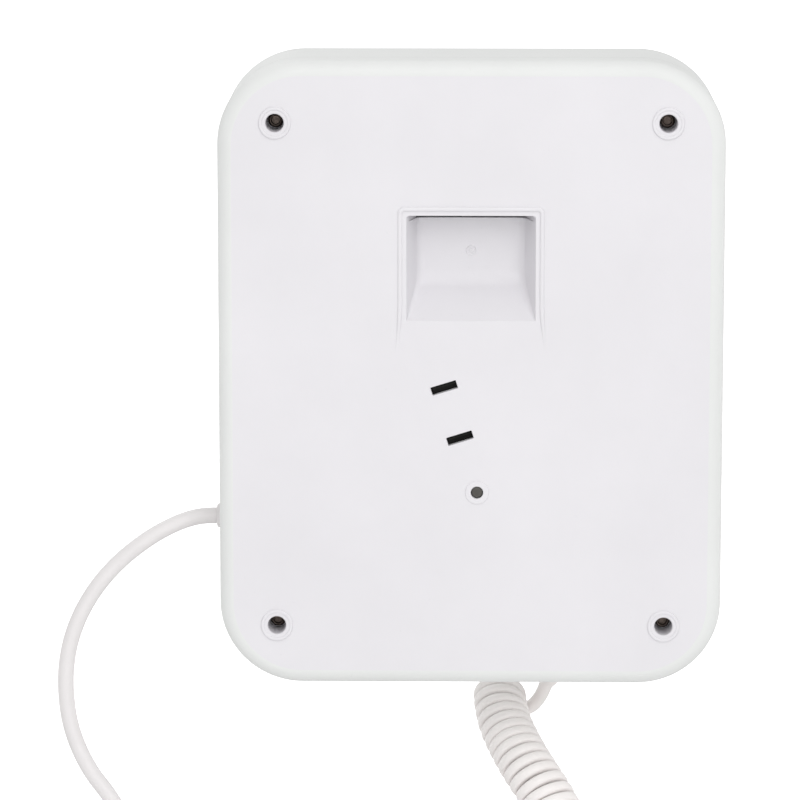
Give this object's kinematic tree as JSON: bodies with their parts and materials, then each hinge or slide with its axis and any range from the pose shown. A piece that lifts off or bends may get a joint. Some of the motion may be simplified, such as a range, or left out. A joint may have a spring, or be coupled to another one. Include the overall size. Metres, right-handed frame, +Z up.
{
  "type": "slimline wall telephone",
  "caption": "Slimline wall telephone with a push-button keypad, a handset on a sprung hook, a gong ringer, a curly handset cord and a coiled line cord with a plug.",
  "frame": {"origin": "middle of the case's flat rear face, which lies against the wall", "axes": "+Y into the wall, +Z up, +X to the right seen from the front"},
  "size_m": [0.2096, 0.0795, 0.3558],
  "materials": {
    "shell": "white with a faint lavender tint, satin",
    "cord": "warm white vinyl, satin",
    "dark_screw": "dark brownish grey",
    "steel": "zinc plated",
    "copper": "enamelled copper winding",
    "gong_brass": "polished",
    "grey_plastic": "satin",
    "bezel": "satin",
    "rubber": "matt",
    "board": "solder mask",
    "card": "paper card",
    "clear": "clear plastic",
    "black_plastic": "satin"
  },
  "bodies": {
    "base": {"rear_cover": "shell", "front_shell": "shell", "case_screw_1": "dark_screw", "case_screw_2": "dark_screw", "case_screw_3": "dark_screw", "case_screw_4": "dark_screw", "ringer_frame": "steel", "ringer_coil": "copper", "gong_left": "gong_brass", "gong_right": "gong_brass", "gong_screw_left": "steel", "gong_screw_right": "steel", "keypad_bezel": "bezel", "keypad_mat": "rubber", "main_board": "board", "index_card": "card", "index_card_window": "clear", "hook_bracket": "steel", "hook_pin": "steel", "hook_spring": "steel", "hook_switch": "black_plastic", "curly_cord_grommet": "cord", "curly_cord": "cord", "line_cord_gland": "cord", "line_cord": "cord", "line_cord_coil": "cord", "cord_tie": "black_plastic", "line_plug": "clear"},
    "handset": {"handset_outer_shell": "shell", "handset_inner_shell": "shell", "ear_cap": "shell", "mouth_cap": "shell", "receiver_capsule": "black_plastic", "microphone_capsule": "black_plastic", "handset_weight": "steel", "handset_screw_1": "dark_screw", "handset_screw_2": "dark_screw", "handset_cord_boot": "cord"},
    "hook": {"hook_lever": "steel"},
    "clapper": {"ringer_clapper": "steel"},
    "loudness_lever": {"ringer_lever": "grey_plastic"},
    "button_1": {"key_1": "grey_plastic"},
    "button_2": {"key_2": "grey_plastic"},
    "button_3": {"key_3": "grey_plastic"},
    "button_4": {"key_4": "grey_plastic"},
    "button_5": {"key_5": "grey_plastic"},
    "button_6": {"key_6": "grey_plastic"},
    "button_7": {"key_7": "grey_plastic"},
    "button_8": {"key_8": "grey_plastic"},
    "button_9": {"key_9": "grey_plastic"},
    "button_star": {"key_star": "grey_plastic"},
    "button_0": {"key_0": "grey_plastic"},
    "button_hash": {"key_hash": "grey_plastic"}
  },
  "joints": [
    {"name": "handset_lift", "type": "slide", "parent": "base", "child": "handset", "axis": [0, 0, 1], "range_m": [0, 0.045]},
    {"name": "hook_swing", "type": "hinge", "parent": "base", "child": "hook", "pos_m": [-0.038, -0.035, 0.0362], "axis": [-1, 0, 0], "range_deg": [0, 10]},
    {"name": "clapper_swing", "type": "hinge", "parent": "base", "child": "clapper", "pos_m": [0.0036, -0.0219, -0.01835], "axis": [0, 1, 0], "range_deg": [-3, 3], "stiffness_Nm_per_rad": 0.03},
    {"name": "loudness_slide", "type": "slide", "parent": "base", "child": "loudness_lever", "axis": [1, 0, 0], "range_m": [0, 0.006]},
    {"name": "press_1", "type": "slide", "parent": "base", "child": "button_1", "axis": [0, 1, 0], "range_m": [0, 0.0025], "stiffness_N_per_m": 250, "springref_m": -0.001},
    {"name": "press_2", "type": "slide", "parent": "base", "child": "button_2", "axis": [0, 1, 0], "range_m": [0, 0.0025], "stiffness_N_per_m": 250, "springref_m": -0.001},
    {"name": "press_3", "type": "slide", "parent": "base", "child": "button_3", "axis": [0, 1, 0], "range_m": [0, 0.0025], "stiffness_N_per_m": 250, "springref_m": -0.001},
    {"name": "press_4", "type": "slide", "parent": "base", "child": "button_4", "axis": [0, 1, 0], "range_m": [0, 0.0025], "stiffness_N_per_m": 250, "springref_m": -0.001},
    {"name": "press_5", "type": "slide", "parent": "base", "child": "button_5", "axis": [0, 1, 0], "range_m": [0, 0.0025], "stiffness_N_per_m": 250, "springref_m": -0.001},
    {"name": "press_6", "type": "slide", "parent": "base", "child": "button_6", "axis": [0, 1, 0], "range_m": [0, 0.0025], "stiffness_N_per_m": 250, "springref_m": -0.001},
    {"name": "press_7", "type": "slide", "parent": "base", "child": "button_7", "axis": [0, 1, 0], "range_m": [0, 0.0025], "stiffness_N_per_m": 250, "springref_m": -0.001},
    {"name": "press_8", "type": "slide", "parent": "base", "child": "button_8", "axis": [0, 1, 0], "range_m": [0, 0.0025], "stiffness_N_per_m": 250, "springref_m": -0.001},
    {"name": "press_9", "type": "slide", "parent": "base", "child": "button_9", "axis": [0, 1, 0], "range_m": [0, 0.0025], "stiffness_N_per_m": 250, "springref_m": -0.001},
    {"name": "press_star", "type": "slide", "parent": "base", "child": "button_star", "axis": [0, 1, 0], "range_m": [0, 0.0025], "stiffness_N_per_m": 250, "springref_m": -0.001},
    {"name": "press_0", "type": "slide", "parent": "base", "child": "button_0", "axis": [0, 1, 0], "range_m": [0, 0.0025], "stiffness_N_per_m": 250, "springref_m": -0.001},
    {"name": "press_hash", "type": "slide", "parent": "base", "child": "button_hash", "axis": [0, 1, 0], "range_m": [0, 0.0025], "stiffness_N_per_m": 250, "springref_m": -0.001}
  ],
  "couplings": [
    {"joint": "hook_swing", "follows": "handset_lift", "rad_per_m": 3.87}
  ]
}
